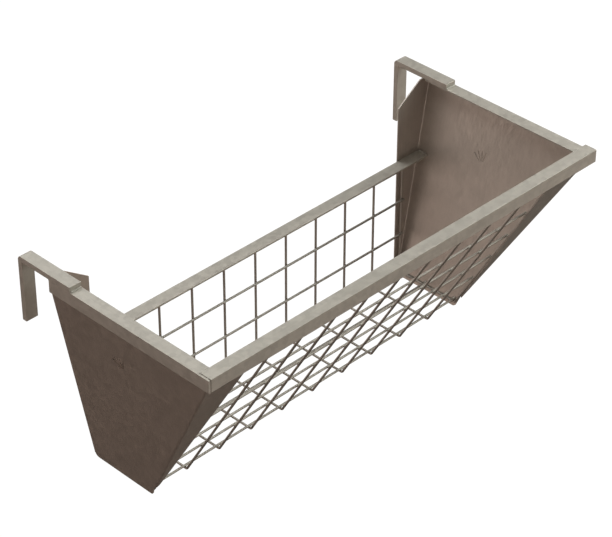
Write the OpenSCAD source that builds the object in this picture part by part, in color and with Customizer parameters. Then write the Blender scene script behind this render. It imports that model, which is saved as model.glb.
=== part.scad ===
// Hay rack feeder: a welded trough of square wire mesh between two folded end plates,
// framed in steel angle and hung on a fence by two flat-bar hooks.
// X runs along the rack, +Y points at the fence and +Z is up. The origin lies midway between
// the hooks, on the rack's rear plane, at the level of the hooks' undersides.

/* [Rack] */
// Width over the two side rails
rack_width = 922.6; // [922.6:0.1:960]
// Depth from the rear plane to the front face of the front rail
rack_depth = 384.2; // [360:0.1:420]
// Depth of the end plates below the top of the rails
plate_drop = 415; // [412:1:440]
// Lean of each end plate away from the vertical, in degrees
plate_tilt = 10.2; // [8:0.1:10.2]
// Thickness of the end plate sheet
sheet = 2; // [1.5:0.5:2]
// Inside radius of the folds in the end plates
fold_radius = 2; // [1:0.5:2]

/* [Rails] */
// Leg width of the steel angle
angle_leg = 25; // [20:1:30]
// Thickness of the steel angle
angle_wall = 3; // [2.5:0.5:4]
// Distance from the outer face of the left rail to the left end of the front rail
front_rail_inset = 5.5; // [5:0.5:8]
// Length of front rail that stands out past the right rail
front_rail_overhang = 8.4; // [5:0.1:12]
// Gap between the rear end of each side rail and the rear plane
side_rail_gap = 7.6; // [6:0.1:10]
// Depth of the back rail's top face below the side rails
back_rail_drop = 153; // [140:1:190]

/* [Hooks] */
// Clear space for the fence between the rack and the hook tongues
fence_gap = 60; // [30:1:80]
// Thickness of the hook bar
hook_thick = 10; // [8:1:12]
// Length of each hook in front of the rear plane
hook_lap = 60; // [40:1:90]
// Length of the hook tongues below the hook's underside
tongue_drop = 120; // [60:1:160]

/* [Mesh] */
// Spacing of the mesh wires
pitch = 76.4; // [74:0.1:76.4]
// Wire diameter
wire_d = 4.5; // [3:0.5:4.5]
// Depth of the mesh floor's wire centres below the rails
floor_drop = 404; // [400:1:406]
// Slope of the front mesh away from the vertical, in degrees
front_slope = 30; // [29:0.5:31]

/* [Hidden] */
$fn = 48;
bent_wires = 11;
front_wires = 5;
bent_names = [for (i = [1:bent_wires]) str("bent_wire_", i)];
front_names = [for (i = [1:front_wires]) str("front_wire_", i)];

top_steel = [0.66, 0.65, 0.60];
sheet_steel = [0.50, 0.46, 0.41];
wire_steel = [0.45, 0.43, 0.39];
weld_steel = [0.58, 0.56, 0.52];

half_width = rack_width / 2;
front_y = -rack_depth;
leg_inner_x = half_width - angle_wall;
wire_r = wire_d / 2;
slope_tan = tan(front_slope);

// Clearance at welded seams, and of the end plates' cut edges inside the rails
seam = 0.1;
edge_gap = 0.5;

// Bends in sheet and wire are a hair thicker than the straight runs, which lap into them
lap = 0.06;
swell = 0.01;

// Distance from mid-rack to the inner face of an end plate at height z
function plate_inner_x(z) = leg_inner_x + (z + angle_wall) * tan(plate_tilt) - sheet / cos(plate_tilt);

// Place in a leaning plate's own frame, [depth through the sheet, height along it], of a point
// that is x from mid-rack and z high
function on_plate(x, z) =
    let (in = leg_inner_x - x, up = z + angle_wall)
    [in * cos(plate_tilt) + up * sin(plate_tilt), up * cos(plate_tilt) - in * sin(plate_tilt)];

// Points of an arc about [cx, cy] from angle a to angle b
function arc(cx, cy, r, a, b) =
    [for (i = [0:6]) let (t = a + (b - a) * i / 6) [cx + r * cos(t), cy + r * sin(t)]];

// Bent wires, as centre lines in the Y-Z plane: down the back, along the floor, up the slope
back_wire_y = -(sheet + angle_wall + wire_r);
back_wire_top = -back_rail_drop - angle_wall;
rear_bend = 8;
vee_bend = 5;
slope_y = front_y + seam;
vee_y = slope_y + floor_drop * slope_tan;
vee_reach = vee_bend * slope_tan;
slope_end_z = (slope_y - front_y - angle_wall - wire_r * cos(front_slope)) / slope_tan;
slope_length = (floor_drop + slope_end_z) / cos(front_slope);

// Long wires lie on the inner side of the bent wires
long_wire_half = plate_inner_x(wire_r - floor_drop) - seam;
back_long_y = back_wire_y - wire_d;
back_long_z = -238;
floor_long_z = wire_d - floor_drop;
floor_rear_y = -73.6;
floor_front_y = -146;
front_long_start = 85.2;

// Front folds: where the outer faces of plate and flange would meet, and the bend between them
flange_y = slope_y - (wire_r + sheet) / cos(front_slope) + angle_wall * slope_tan;
fold_lean = atan(slope_tan * cos(plate_tilt));
fold_angle = acos(-sin(plate_tilt) * sin(front_slope));
fold_out = sheet + fold_radius;
fold_reach = fold_out / tan(fold_angle / 2);

// Outside radius of the hooks' bend
hook_bend = 8;

// Outline of the end plates
corner_radius = 8;
plate_top = -sheet * tan(plate_tilt);
plate_low = -(plate_drop - angle_wall) / cos(plate_tilt);
plate_front_y = front_y + angle_wall + edge_gap;
plate_rear_y = edge_gap - side_rail_gap;
shoulder = -11.5;
rear_top_z = -1;
rear_free_x = half_width - 87.7;
rear_chamfer = [half_width - 32.3, -39.8];
front_free_width = 98.3;
front_free_taper = 0.2;
front_free_slant = 0.156;
front_free_rise = 6;
front_flange_low = -452;

// Stamped emblem: round-ended grooves in both faces, fanned like a leaning tuft of hay
emblem_y = front_y + 235;
emblem_height = -103;
groove_width = 2.2;
groove_depth = 0.75;
groove_start = 9;
groove_length = 18;
groove_turns = [-30, -10, 10, 30];
groove_lean = -18;

// L-shaped length of angle along X: the corner is at the origin, legs along +Y and -Z
module angle_bar(length) {
    cube_at([0, 0, -angle_wall], [length, angle_leg, angle_wall]);
    cube_at([0, 0, -angle_leg], [length, angle_wall, angle_leg]);
}

module cube_at(corner, size) {
    translate(corner) cube(size);
}

// Stands a flat Y-Z outline up and gives it a thickness along X
module along_x(thickness) {
    rotate([90, 0, 90]) linear_extrude(thickness) children();
}

// Quarter-round weld bead along X, filling the corner towards +Y and +Z
module bead(length, size) {
    along_x(length) intersection() {
        circle(size);
        square(size);
    }
}

// Puts a left-hand shape on the left, or its mirror image on the right
module on_side(right) {
    mirror([right ? 1 : 0, 0, 0]) children();
}

// Main panel of an end plate, short of its folds, with rounded lower corners
module plate_panel() {
    arc_y = flange_y - (plate_low + corner_radius) * tan(fold_lean) + corner_radius / cos(fold_lean);
    bend_y = (fold_reach - lap) / cos(fold_lean);
    rear_top = on_plate(leg_inner_x, rear_top_z)[1];
    difference() {
        along_x(sheet) polygon(concat(
            [[plate_front_y, plate_top], [plate_rear_y, plate_top], [plate_rear_y, rear_top],
                [-fold_out + lap, rear_top], [-fold_out + lap, plate_low + corner_radius]],
            arc(-fold_out - corner_radius, plate_low + corner_radius, corner_radius, 0, -90),
            arc(arc_y, plate_low + corner_radius, corner_radius, -90, -180 + fold_lean),
            [[flange_y + bend_y - front_flange_low * sin(fold_lean), front_flange_low * cos(fold_lean)],
                [flange_y + bend_y - shoulder * tan(fold_lean), shoulder], [plate_front_y, shoulder]]));
        for (face = [groove_depth - sheet, sheet - groove_depth])
            translate([face, emblem_y, emblem_height]) along_x(sheet) emblem();
    }
}

module emblem() {
    rotate(groove_lean) translate([0, -groove_start - groove_length / 2])
        for (turn = groove_turns) rotate(turn) {
            translate([-groove_width / 2, groove_start]) square([groove_width, groove_length]);
            for (along = [groove_start, groove_start + groove_length])
                translate([0, along]) circle(d = groove_width);
        }
}

// Bend in the sheet about Z, from +X towards +Y
module fold(turn, height) {
    rotate_extrude(angle = turn) translate([fold_radius - swell, 0]) square([sheet + 2 * swell, height]);
}

// Rear fold and flange, upright in the rack's rear plane
module rear_flange() {
    fold_low = plate_low + corner_radius;
    fold_top = on_plate(leg_inner_x, rear_top_z)[1];
    translate([fold_out, -fold_out, fold_low]) rotate(90) fold(90, fold_top - fold_low);
    low_z = rear_top_z - (fold_top - fold_low) * cos(plate_tilt);
    rotate([90, 0, 0]) linear_extrude(sheet)
        polygon([[fold_out - lap, fold_low], [fold_out - lap, fold_top],
            on_plate(rear_chamfer[0], rear_top_z), on_plate(rear_free_x, rear_chamfer[1]),
            on_plate(rear_free_x, low_z)]);
}

// Front fold and flange, leaning in front of the sloping wires
module front_flange() {
    top = shoulder / cos(fold_lean);
    free_top = (front_free_width + front_free_taper * top) / (1 + front_free_taper * front_free_slant);
    free_low = front_free_width + front_free_taper * front_flange_low;
    translate([0, flange_y, 0]) rotate([fold_lean, 0, 0]) {
        translate([fold_out, fold_reach, front_flange_low]) rotate(180)
            fold(180 - fold_angle, top - front_flange_low);
        rotate(90 - fold_angle) translate([0, sheet, 0]) rotate([90, 0, 0]) linear_extrude(sheet)
            polygon([[fold_reach - lap, front_flange_low], [fold_reach - lap, top],
                [free_top, top - front_free_slant * free_top],
                [free_low, front_flange_low + front_free_rise]]);
    }
}

module end_plate(right) {
    color(sheet_steel) on_side(right) translate([-leg_inner_x, 0, -angle_wall]) rotate([0, -plate_tilt, 0]) {
        plate_panel();
        rear_flange();
        front_flange();
    }
}

// The upright leg runs on past the top leg: outside the front rail's end on the left, and
// under its top leg on the right
module side_rail(right) {
    leg_front = right ? front_y + angle_wall : front_y;
    leg_top = right ? -angle_wall : 0;
    rail_front = front_y + angle_leg;
    rail_length = -side_rail_gap - rail_front;
    color(top_steel) on_side(right) {
        cube_at([-half_width, rail_front, -angle_wall], [angle_leg, rail_length, angle_wall]);
        cube_at([-half_width, rail_front, -angle_leg], [angle_wall, rail_length, angle_leg]);
        cube_at([-half_width, leg_front, -angle_leg],
            [angle_wall, rail_front - leg_front, angle_leg + leg_top]);
    }
}

module front_rail() {
    start = -half_width + front_rail_inset;
    color(top_steel) translate([start, front_y, 0]) angle_bar(half_width + front_rail_overhang - start);
}

// Its upright leg stands against the rear flanges and its ends are cut to the end plates
module back_rail() {
    top = -back_rail_drop;
    low = top - angle_leg;
    top_x = plate_inner_x(top) - seam;
    low_x = plate_inner_x(low) - seam;
    color(top_steel) intersection() {
        translate([-half_width, -sheet, top]) mirror([0, 1, 0]) angle_bar(rack_width);
        rotate([90, 0, 0]) linear_extrude(angle_leg + sheet)
            polygon([[-top_x, top], [top_x, top], [low_x, low], [-low_x, low]]);
    }
}

// Flat bar bent down behind the fence, with a rounded outer corner
module hook(right) {
    rear = fence_gap + hook_thick;
    color(top_steel) on_side(right) translate([-half_width, 0, 0]) along_x(angle_leg) difference() {
        polygon([[-hook_lap, 0], [fence_gap, 0], [fence_gap, -tongue_drop], [rear, -tongue_drop],
            [rear, hook_thick], [-hook_lap, hook_thick]]);
        translate([rear - hook_bend, hook_thick - hook_bend]) difference() {
            square(hook_bend + seam);
            circle(hook_bend);
        }
    }
}

// Straight wire in the Y-Z plane from a point, at an angle from +Y, lapping by start_lap and lap
module wire_run(start, angle, length, start_lap) {
    translate(start) rotate(angle) translate([-start_lap, 0, 0]) rotate([0, 90, 0])
        cylinder(d = wire_d, h = length + start_lap + lap);
}

// Bend in the Y-Z plane about a centre
module wire_bend(centre, radius, start, turn) {
    translate(centre) rotate(start) rotate_extrude(angle = turn) translate([radius, 0])
        circle(d = wire_d + 2 * swell);
}

module bent_wire(index) {
    floor_start = vee_y + vee_reach;
    drop = back_wire_top + floor_drop - rear_bend;
    color(wire_steel) translate([(index - (bent_wires - 1) / 2) * pitch, 0, 0]) rotate([90, 0, 90]) {
        wire_run([back_wire_y, back_wire_top], -90, drop, 0);
        wire_bend([back_wire_y - rear_bend, rear_bend - floor_drop], rear_bend, -90, 90);
        wire_run([floor_start, -floor_drop], 0, back_wire_y - rear_bend - floor_start, lap);
        wire_bend([floor_start, vee_bend - floor_drop], vee_bend, 180 + front_slope, 90 - front_slope);
        translate([vee_y, -floor_drop]) rotate(90 + front_slope)
            wire_run([vee_reach, 0], 0, slope_length - vee_reach - lap, lap);
    }
}

// Straight wire along X with its centre at y and z
module long_wire(y, z) {
    color(wire_steel) translate([-long_wire_half, y, z]) rotate([0, 90, 0])
        cylinder(d = wire_d, h = 2 * long_wire_half);
}

module front_wire(index) {
    along = front_long_start + index * pitch;
    long_wire(vee_y - along * sin(front_slope) + wire_d * cos(front_slope),
        -floor_drop + along * cos(front_slope) + wire_d * sin(front_slope));
}

// Beads across the front end of each hook, and under it at the rail's rear end
module hook_welds() {
    front_bead = 2.5;
    rear_bead = 3;
    rear_inset = 6;
    color(weld_steel) for (right = [false, true]) on_side(right) {
        translate([-half_width, -hook_lap, 0]) mirror([0, 1, 0]) bead(angle_leg, front_bead);
        translate([-half_width + rear_inset, -side_rail_gap, 0]) mirror([0, 0, 1])
            bead(angle_leg - rear_inset, rear_bead);
    }
}

// Left: the slot between upright leg and front rail, filled short of flush.
// Right: fillets behind the front rail, down the side rail's outer face
module corner_welds() {
    slot = front_rail_inset - angle_wall;
    recess = 1.5;
    top_bead = 4;
    side_bead = 3;
    color(weld_steel) {
        cube_at([-leg_inner_x, front_y, -angle_leg], [slot, angle_wall, angle_leg - recess]);
        cube_at([-leg_inner_x, front_y + angle_wall, -angle_wall],
            [slot, angle_leg - angle_wall, angle_wall - recess]);
        translate([half_width, front_y + angle_leg, -angle_wall]) upright_bead(angle_wall, top_bead);
        translate([half_width, front_y + angle_wall, -angle_leg])
            upright_bead(angle_leg - angle_wall, side_bead);
    }
}

// Quarter-round bead along Z, filling the corner towards +X and +Y
module upright_bead(length, size) {
    linear_extrude(length) intersection() {
        circle(size);
        square(size);
    }
}

// Beads along the back rail's ends, on its top face against the end plates
module back_rail_welds() {
    end_x = plate_inner_x(-back_rail_drop) - seam;
    size = 3;
    short = 1;
    color(weld_steel) for (right = [false, true]) on_side(right)
        translate([-end_x, -sheet, -back_rail_drop]) rotate(-90) bead(angle_leg - short, size);
}

// Stitch beads under the side rails, in the corner with the end plates
module plate_welds() {
    stitch = 30;
    size = 3.5;
    color(weld_steel) for (right = [false, true]) on_side(right)
        for (place = [0.12, 0.36, 0.6, 0.84])
            translate([-plate_inner_x(-angle_wall), front_y * place, -angle_wall]) rotate([90, 0, 0])
                linear_extrude(stitch)
                    polygon([[0, 0], [size, 0], [size * sin(plate_tilt), -size * cos(plate_tilt)]]);
}

end_plate(false);  // end_plate_left
end_plate(true);  // end_plate_right
side_rail(false);  // side_rail_left
side_rail(true);  // side_rail_right
front_rail();
back_rail();
hook(false);  // hook_left
hook(true);  // hook_right
for (i = [0:bent_wires - 1]) bent_wire(i);
long_wire(back_long_y, back_long_z);  // back_wire_upper
long_wire(back_long_y, back_long_z - pitch);  // back_wire_middle
long_wire(back_long_y, back_long_z - 2 * pitch);  // back_wire_lower
long_wire(floor_rear_y, floor_long_z);  // floor_wire_rear
long_wire(floor_front_y, floor_long_z);  // floor_wire_front
for (i = [0:front_wires - 1]) front_wire(i);
hook_welds();
corner_welds();
back_rail_welds();
plate_welds();
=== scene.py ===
import math
import random

import bmesh
import bpy
from mathutils import Matrix, Vector


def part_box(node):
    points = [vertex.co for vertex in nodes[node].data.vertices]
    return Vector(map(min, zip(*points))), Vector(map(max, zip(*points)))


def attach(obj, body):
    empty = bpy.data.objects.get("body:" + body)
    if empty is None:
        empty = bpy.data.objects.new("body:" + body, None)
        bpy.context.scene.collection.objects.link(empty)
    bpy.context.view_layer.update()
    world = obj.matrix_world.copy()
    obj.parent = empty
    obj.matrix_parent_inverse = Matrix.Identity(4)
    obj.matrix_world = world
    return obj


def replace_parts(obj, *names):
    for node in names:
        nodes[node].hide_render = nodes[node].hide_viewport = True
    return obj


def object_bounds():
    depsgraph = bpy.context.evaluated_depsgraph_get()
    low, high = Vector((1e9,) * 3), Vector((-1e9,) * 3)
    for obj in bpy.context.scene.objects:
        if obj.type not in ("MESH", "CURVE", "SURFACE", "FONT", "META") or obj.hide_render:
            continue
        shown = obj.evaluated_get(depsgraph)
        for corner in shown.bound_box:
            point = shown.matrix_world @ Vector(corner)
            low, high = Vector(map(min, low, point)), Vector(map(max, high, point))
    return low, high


# Looks of the hay rack feeder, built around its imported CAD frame: galvanised steel, modelled
# weld beads, a plain pale floor and soft studio light. Metres, in the row frame, +Z up.

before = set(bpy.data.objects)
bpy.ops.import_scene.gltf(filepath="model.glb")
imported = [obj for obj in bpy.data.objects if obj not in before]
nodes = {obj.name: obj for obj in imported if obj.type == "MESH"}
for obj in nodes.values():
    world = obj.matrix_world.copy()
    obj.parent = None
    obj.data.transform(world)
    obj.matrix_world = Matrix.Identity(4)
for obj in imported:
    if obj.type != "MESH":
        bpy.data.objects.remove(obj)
cad_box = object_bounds()

MM = 0.001
X, Y, Z = Vector((1, 0, 0)), Vector((0, 1, 0)), Vector((0, 0, 1))
scene = bpy.context.scene
draws = random.Random(7)

# Facts of the frame, read from its own boxes
WIRE_R = (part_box("floor_wire_rear")[1].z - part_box("floor_wire_rear")[0].z) / 2
FRONT_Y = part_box("front_rail")[0].y
HALF_WIDTH = -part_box("side_rail_left")[0].x
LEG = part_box("front_rail")[1].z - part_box("front_rail")[0].z

# Facts of the frame that no box gives, as part.scad has them
WALL = 3 * MM
SHEET = 2 * MM
SLOPE = math.radians(30)
TILT = math.radians(10.2)

SIDES = (-1, 1)                      # the left end and the right end
BENT = [f"bent_wire_{i}" for i in range(1, 12)]
BACK_LONG = ["back_wire_upper", "back_wire_middle", "back_wire_lower"]
FLOOR_LONG = ["floor_wire_rear", "floor_wire_front"]
FRONT_LONG = [f"front_wire_{i}" for i in range(1, 6)]


# ---------------------------------------------------------------- camera, floor and light

# The camera that was fitted to the photograph's straight edges
CAMERA_PLACE = (-2.3021, -2.4181, 2.1389)
CAMERA_TURN = (45.226, 35.156, -0.121)          # azimuth, elevation and roll in degrees
CAMERA_LENS, CAMERA_SENSOR = 134.78, 36         # millimetres

# Every lamp is a square of this size, this far from the middle of the rack
LAMP_SIZE = 2.4
LAMP_DISTANCE = 4.0
RACK_MIDDLE = Vector((0, -0.17, -0.18))

FLOOR_DROP = 0.45                    # from the rack's lowest point to the floor
FLOOR_HALF = 30


def place_camera():
    azimuth, elevation, roll = (math.radians(a) for a in CAMERA_TURN)
    back = Vector((-math.sin(azimuth) * math.cos(elevation),
                   -math.cos(azimuth) * math.cos(elevation), math.sin(elevation)))
    right = (-back).cross(Z).normalized()
    up = back.cross(right)
    turned_right = right * math.cos(roll) - up * math.sin(roll)
    turned_up = up * math.cos(roll) + right * math.sin(roll)
    data = bpy.data.cameras.new("camera")
    data.lens = CAMERA_LENS
    data.sensor_width = CAMERA_SENSOR
    data.clip_end = 60
    camera = bpy.data.objects.new("camera", data)
    scene.collection.objects.link(camera)
    turn = Matrix((turned_right, turned_up, back)).transposed().to_4x4()
    camera.matrix_world = Matrix.Translation(CAMERA_PLACE) @ turn
    scene.camera = camera


def area_light(name, toward, power, colour):
    """A square soft light that shines on the rack from the direction toward."""
    data = bpy.data.lights.new(name, "AREA")
    data.shape = "SQUARE"
    data.size = LAMP_SIZE
    data.energy = power
    data.color = colour
    light = bpy.data.objects.new(name, data)
    scene.collection.objects.link(light)
    aim = Vector(toward).normalized()
    light.matrix_world = (Matrix.Translation(RACK_MIDDLE + aim * LAMP_DISTANCE)
                          @ aim.to_track_quat("Z", "Y").to_matrix().to_4x4())


def soft_world():
    """White to the camera; as light, a dim room with a warm glow from just below the horizon."""
    world = bpy.data.worlds.new("studio")
    scene.world = world
    world.use_nodes = True
    tree = world.node_tree
    tree.nodes.clear()
    link = tree.links.new
    coords = tree.nodes.new("ShaderNodeTexCoord")
    split = tree.nodes.new("ShaderNodeSeparateXYZ")
    height = tree.nodes.new("ShaderNodeMapRange")
    height.inputs["From Min"].default_value = -1
    height.inputs["From Max"].default_value = 1
    ramp = tree.nodes.new("ShaderNodeValToRGB")
    dim = (0.035, 0.030, 0.027, 1)
    warm_glow = (1.0, 0.80, 0.71, 1)
    glow = (0.97, 0.84, 0.78, 1)
    stops = ramp.color_ramp.elements
    stops[0].position, stops[0].color = 0.25, dim
    stops[1].position, stops[1].color = 0.56, dim
    stops.new(0.32).color = warm_glow
    stops.new(0.47).color = glow
    lit = tree.nodes.new("ShaderNodeBackground")
    lit.inputs["Strength"].default_value = 1.4
    seen = tree.nodes.new("ShaderNodeBackground")
    seen.inputs["Color"].default_value = (1, 1, 1, 1)
    path = tree.nodes.new("ShaderNodeLightPath")
    mix = tree.nodes.new("ShaderNodeMixShader")
    out = tree.nodes.new("ShaderNodeOutputWorld")
    link(coords.outputs["Generated"], split.inputs[0])
    link(split.outputs["Z"], height.inputs["Value"])
    link(height.outputs["Result"], ramp.inputs["Fac"])
    link(ramp.outputs["Color"], lit.inputs["Color"])
    link(path.outputs["Is Camera Ray"], mix.inputs[0])
    link(lit.outputs[0], mix.inputs[1])
    link(seen.outputs[0], mix.inputs[2])
    link(mix.outputs[0], out.inputs["Surface"])


def pale_floor():
    """The rack hangs in the air, so its floor lies well below it. The floor's brightness stays
    near 1, because a brighter one would eat into the edges of the thin wires before it."""
    half = FLOOR_HALF
    mesh = bpy.data.meshes.new("floor")
    z = cad_box[0][2] - FLOOR_DROP
    mesh.from_pydata([(-half, -half, z), (half, -half, z), (half, half, z), (-half, half, z)],
                     [], [(0, 1, 2, 3)])
    floor = bpy.data.objects.new("floor", mesh)
    scene.collection.objects.link(floor)
    material = bpy.data.materials.new("floor_paint")
    material.use_nodes = True
    shader = material.node_tree.nodes["Principled BSDF"]
    shader.inputs["Base Color"].default_value = (0.12, 0.12, 0.12, 1)
    shader.inputs["Roughness"].default_value = 0.9
    shader.inputs["Specular IOR Level"].default_value = 0.1
    shader.inputs["Emission Color"].default_value = (1, 1, 1, 1)
    shader.inputs["Emission Strength"].default_value = 0.93
    mesh.materials.append(material)
    floor.visible_diffuse = False
    floor.visible_glossy = False


place_camera()
scene.view_settings.view_transform = "Standard"
soft_world()
pale_floor()
area_light("top", (0.02, 0, 1), 37, (1.0, 0.957, 0.874))
area_light("top_rear", (0, 0.5, 0.87), 85, (0.985, 0.993, 1.0))
area_light("front_right", (0.62, -0.62, 0.45), 65, (0.90, 1.0, 0.94))
area_light("right", (0.87, 0, 0.5), 77, (1.0, 0.978, 0.957))


# ---------------------------------------------------------------- materials

class Shader:
    """A short way to lay out and join shader nodes."""

    def __init__(self, name):
        self.material = bpy.data.materials.new(name)
        self.material.use_nodes = True
        self.tree = self.material.node_tree
        self.surface = self.tree.nodes["Principled BSDF"]
        coords = self.tree.nodes.new("ShaderNodeTexCoord")
        self.place = coords.outputs["Object"]

    def join(self, source, target):
        if isinstance(source, (int, float, tuple)):
            target.default_value = source
        else:
            self.tree.links.new(source, target)

    def node(self, kind, **inputs):
        made = self.tree.nodes.new(kind)
        for key, value in inputs.items():
            self.join(value, made.inputs[key.replace("_", " ")])
        return made

    def stretched(self, scale):
        return self.node("ShaderNodeMapping", Vector=self.place, Scale=scale).outputs[0]

    def noise(self, scale, place=None, detail=3.0, rough=0.5):
        made = self.node("ShaderNodeTexNoise", Vector=place or self.place, Scale=scale,
                         Detail=detail, Roughness=rough)
        return made.outputs["Fac"]

    def cells(self, scale):
        made = self.node("ShaderNodeTexVoronoi", Vector=self.place, Scale=scale)
        tone = self.node("ShaderNodeSeparateColor", Color=made.outputs["Color"])
        return tone.outputs[0]

    def spread(self, value, low, high, start=0.0, end=1.0):
        made = self.node("ShaderNodeMapRange", Value=value, From_Min=start, From_Max=end,
                         To_Min=low, To_Max=high)
        return made.outputs["Result"]

    def maths(self, operation, a, b):
        made = self.tree.nodes.new("ShaderNodeMath")
        made.operation = operation
        self.join(a, made.inputs[0])
        self.join(b, made.inputs[1])
        return made.outputs[0]

    def mix(self, amount, a, b, blend="MIX"):
        made = self.tree.nodes.new("ShaderNodeMix")
        made.data_type = "RGBA"
        made.blend_type = blend
        self.join(amount, made.inputs[0])
        self.join(a, made.inputs[6])
        self.join(b, made.inputs[7])
        return made.outputs[2]

    def bump(self, height, strength, distance, below=None):
        made = self.node("ShaderNodeBump", Height=height, Strength=strength, Distance=distance)
        if below is not None:
            self.join(below, made.inputs["Normal"])
        return made.outputs[0]

    def edges(self, radius):
        """1 on a sharp edge, where wear and a painted highlight lighten the colour, falling to 0
        within the radius on each side of it.
        """
        soft = self.tree.nodes.new("ShaderNodeBevel")
        soft.samples = 6
        soft.inputs["Radius"].default_value = radius
        plain = self.tree.nodes.new("ShaderNodeNewGeometry")
        turn = self.tree.nodes.new("ShaderNodeVectorMath")
        turn.operation = "DOT_PRODUCT"
        self.join(soft.outputs[0], turn.inputs[0])
        self.join(plain.outputs["Normal"], turn.inputs[1])
        return self.spread(turn.outputs["Value"], 1.0, 0.0, 0.80, 0.985)


def tinted(colour, share, lift=0.0):
    """The colour times share, plus lift, as an opaque colour that is nowhere above 1."""
    return tuple(min(1.0, share * c + lift) for c in colour) + (1,)


def steel(name, colour, grain=(1, 1, 1), metallic=0.45, roughness=0.46, spangle=0.06, edge_wear_and_highlight=0.35,
          ripple=0.0):
    """Satin galvanised steel: zinc spangle, rolling streaks, faint bloom and brighter edges, which
    are partly edge wear and partly painted highlight.
    """
    s = Shader(name)
    broad = s.noise(5.0, detail=4.0)
    streaks = s.noise(260.0, s.stretched(grain), detail=2.0)
    grit = s.noise(1400.0, detail=2.0, rough=0.6)
    crystals = s.cells(120.0)
    tone = s.mix(s.spread(broad, 0.0, 1.0, 0.3, 0.7), tinted(colour, 0.96), tinted(colour, 1.035))
    tone = s.mix(s.spread(streaks, 0.0, 0.4, 0.35, 0.75), tone, tinted(colour, 0.90))
    light = s.spread(crystals, 1.0 - spangle, 1.0 + spangle)
    grey = s.node("ShaderNodeCombineColor", Red=light, Green=light, Blue=light)
    tone = s.mix(1.0, tone, grey.outputs[0], "MULTIPLY")
    bloom = s.spread(s.noise(16.0, detail=6.0, rough=0.62), 0.0, 0.08, 0.52, 0.75)
    tone = s.mix(bloom, tone, tinted(colour, 0.75, 0.18))
    edge = s.edges(1.1 * MM)
    worn_and_highlit = s.maths("MULTIPLY", edge, s.spread(grit, 0.5 * edge_wear_and_highlight, edge_wear_and_highlight, 0.35, 0.65))
    # Edges lightened: partly edge wear, partly a painted highlight in the colour.
    tone = s.mix(worn_and_highlit, tone, tinted(colour, 1.35, 0.04))
    gloss = s.maths("ADD", s.spread(streaks, -0.05, 0.06, 0.3, 0.7),
                    s.spread(crystals, roughness - 0.04, roughness + 0.04))
    gloss = s.maths("SUBTRACT", gloss, s.maths("MULTIPLY", worn_and_highlit, 0.10))
    shape = s.bump(broad, 0.05, 0.8 * MM)
    shape = s.bump(streaks, 0.06, 0.10 * MM, shape)
    shape = s.bump(grit, 0.08, 0.06 * MM, shape)
    if ripple:
        shape = s.bump(s.noise(900.0, detail=3.0), ripple, 0.3 * MM, shape)
    s.join(tone, s.surface.inputs["Base Color"])
    s.join(gloss, s.surface.inputs["Roughness"])
    s.join(shape, s.surface.inputs["Normal"])
    s.surface.inputs["Metallic"].default_value = metallic
    return s.material


# Base colours. The plates' tones differ as painted light and shade: the right plate is paler with
# painted light, the left plate darker and browner with painted shade; the real sheets may not
# differ.
RAIL = (0.45, 0.425, 0.375)
PLATE_LEFT_PAINTED_SHADE = (0.408, 0.350, 0.300)
PLATE_RIGHT_PAINTED_LIGHT = (0.443, 0.398, 0.352)
WIRE = (0.36, 0.335, 0.295)
WELD = (0.42, 0.395, 0.35)

rail_along_x = steel("rail_zinc_x", RAIL, grain=(0.05, 1, 1))
rail_along_y = steel("rail_zinc_y", RAIL, grain=(1, 0.05, 1))
hook_zinc = steel("hook_zinc", RAIL, grain=(1, 0.08, 0.08), spangle=0.05)
# The two plate materials carry painted shade (left plate) and painted light (right plate) in their
# base colours.
plate_left_painted_shade_zinc = steel("plate_left_painted_shade_zinc", PLATE_LEFT_PAINTED_SHADE, grain=(1, 1, 0.05), spangle=0.035,
                        edge_wear_and_highlight=0.45)
plate_right_painted_light_zinc = steel("plate_right_painted_light_zinc", PLATE_RIGHT_PAINTED_LIGHT, grain=(1, 1, 0.05), spangle=0.035,
                         edge_wear_and_highlight=0.45)
wire_along_x = steel("wire_zinc_x", WIRE, grain=(0.03, 1, 1), spangle=0.03, edge_wear_and_highlight=0.0)
wire_bent = steel("wire_zinc_bent", WIRE, grain=(1, 0.05, 0.05), spangle=0.03, edge_wear_and_highlight=0.0)
weld_zinc = steel("weld_zinc", WELD, spangle=0.03, edge_wear_and_highlight=0.2, ripple=0.35)

LOOKS = {"front_rail": rail_along_x, "back_rail": rail_along_x,
         "side_rail_left": rail_along_y, "side_rail_right": rail_along_y,
         "hook_left": hook_zinc, "hook_right": hook_zinc,
         "end_plate_left": plate_left_painted_shade_zinc, "end_plate_right": plate_right_painted_light_zinc,
         **{n: wire_bent for n in BENT},
         **{n: wire_along_x for n in BACK_LONG + FLOOR_LONG + FRONT_LONG}}


def dress(node, material):
    """Gives a CAD node its material, and fine rounded edges where it is a rail or a hook. The
    CAD meshes have separate faces, so their corners are joined before the edges are rounded."""
    body = nodes[node]
    if body.material_slots:
        for held in body.material_slots:
            held.material = material
    else:
        body.data.materials.append(material)
    if "rail" in node or "hook" in node:
        joined = body.modifiers.new("joined_corners", "WELD")
        joined.merge_threshold = 0.01 * MM
        rounding = body.modifiers.new("edge_rounding", "BEVEL")
        rounding.width = (0.9 if "hook" in node else 0.5) * MM
        rounding.segments = 3
        rounding.limit_method = "ANGLE"
        rounding.angle_limit = math.radians(40)
        rounding.harden_normals = True


for node_name, look in LOOKS.items():
    dress(node_name, look)


# ---------------------------------------------------------------- modelled welds

RIPPLE = 1.7 * MM                    # from one ripple of a bead to the next
STEP = 0.45 * MM                     # about, from one ring of a bead's skin to the next


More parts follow.
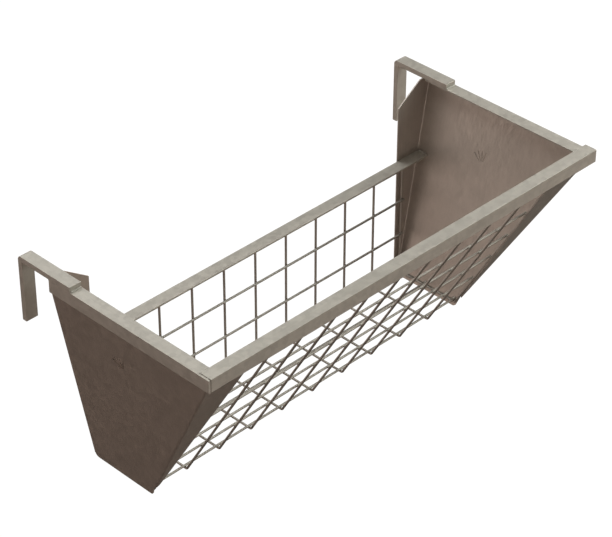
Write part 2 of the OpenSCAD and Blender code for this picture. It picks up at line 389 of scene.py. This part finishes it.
def weld_piece(bm, name):
    """Turns a bmesh into a smooth piece of weld metal that rides on the rack's one body."""
    bmesh.ops.recalc_face_normals(bm, faces=bm.faces)
    mesh = bpy.data.meshes.new(name)
    bm.to_mesh(mesh)
    bm.free()
    mesh.materials.append(weld_zinc)
    for face in mesh.polygons:
        face.use_smooth = True
    piece = bpy.data.objects.new(name, mesh)
    scene.collection.objects.link(piece)
    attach(piece, "root")
    return piece


def loft(bm, rings):
    """Joins rings of points into one closed skin."""
    made = [[bm.verts.new(p) for p in ring] for ring in rings]
    count = len(made[0])
    for one, two in zip(made, made[1:]):
        for k in range(count):
            after = (k + 1) % count
            bm.faces.new((one[k], one[after], two[after], two[k]))
    bm.faces.new(made[0])
    bm.faces.new(list(reversed(made[-1])))


def fillet_bead(bm, start, end, wall_a, wall_b, size):
    """Rippled fillet weld from start to end, in the corner between two walls."""
    start, end = Vector(start), Vector(end)
    length = (end - start).length
    run = (end - start) / length
    bury = 0.12 * MM
    steps = max(12, round(length / STEP))
    swell = [draws.uniform(0.90, 1.0) for _ in range(steps + 2)]
    sway = draws.uniform(0, 6.28)
    rings = []
    for k in range(steps + 1):
        along = length * k / steps
        pool = along / RIPPLE
        crest = 1 - 0.17 * (pool % 1.0) ** 1.4
        near = min(along, length - along) / (1.2 * size)
        close = math.sqrt(max(0.03, 1 - max(0.0, 1 - near) ** 2))
        reach = size * crest * swell[int(pool) % len(swell)] * close
        reach *= 1 + 0.05 * math.sin(900 * along + sway)
        here = start + run * along
        ring = []
        for j in range(7):
            t = math.radians(90) * j / 6
            bulge = 1 - 0.10 * math.sin(2 * t)
            ring.append(here + (wall_a * math.cos(t) + wall_b * math.sin(t)) * reach * bulge
                        - (wall_a + wall_b) * bury)
        ring.append(here - (wall_a + wall_b) * 2 * bury)
        rings.append(ring)
    loft(bm, rings)


def filled_groove(bm, start, end, across, outward, width, depth):
    """Weld metal lying in a groove, with a rippled crown below the groove's rim."""
    start, end = Vector(start), Vector(end)
    length = (end - start).length
    run = (end - start) / length
    steps = round(length / STEP)
    swell = [draws.uniform(-0.25, 0.25) * MM for _ in range(steps + 2)]
    rings = []
    for k in range(steps + 1):
        along = length * k / steps
        pool = along / RIPPLE
        top = depth - 0.45 * MM * (pool % 1.0) ** 1.4 + swell[int(pool) % len(swell)]
        here = start + run * along
        ring = [here, here + across * width]
        for j in range(5):
            t = 1 - j / 4
            crown = top - 0.5 * MM * (2 * t - 1) ** 2
            ring.append(here + across * width * t + outward * crown)
        rings.append(ring)
    loft(bm, rings)


def nugget(bm, centre, axes, radii):
    """Squashed drop of fused metal: a ball with its own three half-widths along three axes."""
    made = bmesh.ops.create_icosphere(bm, subdivisions=2, radius=1.0)
    for vertex in made["verts"]:
        p = vertex.co
        rough = 1 + draws.uniform(-0.05, 0.05)
        vertex.co = centre + (axes[0] * p.x * radii[0] + axes[1] * p.y * radii[1]
                              + axes[2] * p.z * radii[2]) * rough


def collar(bm, centre, axis, reach, wide, narrow):
    """Skirt of weld metal round a wire, where it runs into a wall behind centre."""
    side = axis.orthogonal().normalized()
    other = axis.cross(side)
    rings = []
    for along, radius in ((-0.15, wide), (0.05, wide), (0.35, 0.5 * (wide + narrow)),
                          (0.75, narrow * 1.12), (1.0, narrow * 0.98)):
        ring = []
        for k in range(16):
            t = math.tau * k / 16
            wobble = radius * (1 + draws.uniform(-0.06, 0.06) * (along < 0.9))
            ring.append(centre + axis * reach * along
                        + (side * math.cos(t) + other * math.sin(t)) * wobble)
        rings.append(ring)
    loft(bm, rings)


def hook_beads():
    bm = bmesh.new()
    low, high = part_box("hook_welds")
    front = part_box("hook_left")[0].y
    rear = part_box("side_rail_left")[1].y
    for side in SIDES:
        outer, inner = side * HALF_WIDTH, side * (HALF_WIDTH - LEG)
        size = front - low.y
        fillet_bead(bm, (outer, front, 0), (inner, front, 0), -Y, Z, size)
        size = high.y - rear
        fillet_bead(bm, (outer - side * 6 * MM, rear, 0), (inner, rear, 0), Y, -Z, size)
    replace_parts(weld_piece(bm, "hook_weld_beads"), "hook_welds")


def corner_beads():
    bm = bmesh.new()
    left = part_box("front_rail")[0].x
    inner = -HALF_WIDTH + WALL
    slot = left - inner
    filled_groove(bm, (inner, FRONT_Y + WALL, -LEG), (inner, FRONT_Y + WALL, -1.6 * MM),
                  X, -Y, slot, WALL - 0.5 * MM)
    filled_groove(bm, (inner, FRONT_Y + WALL, -WALL), (inner, FRONT_Y + LEG, -WALL),
                  X, Z, slot, WALL - 0.6 * MM)
    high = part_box("corner_welds")[1]
    fillet_bead(bm, (HALF_WIDTH, FRONT_Y + LEG, -WALL), (HALF_WIDTH, FRONT_Y + LEG, 0),
                X, Y, high.x - HALF_WIDTH)
    fillet_bead(bm, (HALF_WIDTH, FRONT_Y + WALL, -LEG), (HALF_WIDTH, FRONT_Y + WALL, -WALL),
                X, Y, 3 * MM)
    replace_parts(weld_piece(bm, "corner_weld_beads"), "corner_welds")


def back_rail_beads():
    bm = bmesh.new()
    low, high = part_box("back_rail_welds")
    size = high.z - low.z
    for side in SIDES:
        end = high.x * side
        fillet_bead(bm, (end, high.y, low.z), (end, low.y, low.z), -X * side, Z, size)
    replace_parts(weld_piece(bm, "back_rail_weld_beads"), "back_rail_welds")


def plate_beads():
    bm = bmesh.new()
    low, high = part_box("plate_welds")
    stitch, size = 30 * MM, 3.5 * MM
    for side in SIDES:
        down_plate = Vector((-side * math.sin(TILT), 0, -math.cos(TILT)))
        for share in (0.12, 0.36, 0.6, 0.84):
            start = Vector((side * high.x, FRONT_Y * share, high.z))
            fillet_bead(bm, start, start - Y * stitch, -X * side, down_plate, size)
    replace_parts(weld_piece(bm, "plate_weld_beads"), "plate_welds")


def middle(node):
    low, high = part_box(node)
    return (low + high) / 2


def crossing_welds():
    """A fused spot wherever a long wire touches a bent one."""
    bm = bmesh.new()
    inward = {**{n: -Y for n in BACK_LONG}, **{n: Z for n in FLOOR_LONG},
              **{n: Vector((0, math.cos(SLOPE), math.sin(SLOPE))) for n in FRONT_LONG}}
    for long_wire, stack in inward.items():
        centre = middle(long_wire)
        for bent in BENT:
            spot = Vector((middle(bent).x, centre.y, centre.z)) - stack * WIRE_R
            nugget(bm, spot, (X, X.cross(stack), stack), (1.2 * WIRE_R, 1.2 * WIRE_R, 0.6 * WIRE_R))
    weld_piece(bm, "mesh_spot_welds")


def wire_end_welds():
    """Collars where long wires meet the end plates, and dabs where bent wires meet the rails."""
    bm = bmesh.new()
    for long_wire in BACK_LONG + FLOOR_LONG + FRONT_LONG:
        low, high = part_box(long_wire)
        centre = (low + high) / 2
        for side in SIDES:
            end = Vector((high.x * side, centre.y, centre.z))
            plate_in = (HALF_WIDTH - WALL + (end.z + WALL) * math.tan(TILT)
                        - SHEET / math.cos(TILT))
            if abs(plate_in - high.x) < 6 * MM:
                collar(bm, Vector((side * plate_in, end.y, end.z)), -X * side, 4 * MM,
                       1.7 * WIRE_R, WIRE_R)
    rail_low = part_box("back_rail")[0].z
    rail_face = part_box("back_rail")[1].y - WALL
    for bent in BENT:
        x = middle(bent).x
        for side in SIDES:
            corner = Vector((x + side * WIRE_R * 0.9, rail_face, rail_low + 2 * MM))
            nugget(bm, corner + Z * 8 * MM - Y * 0.6 * MM, (X, Y, Z),
                   (1.6 * MM, 1.3 * MM, 8 * MM))
        nugget(bm, Vector((x, FRONT_Y + WALL + 0.8 * MM, -10 * MM)), (X, Y, Z),
               (3.2 * MM, 1.4 * MM, 3.0 * MM))
    weld_piece(bm, "wire_end_welds")


hook_beads()
corner_beads()
back_rail_beads()
plate_beads()
crossing_welds()
wire_end_welds()
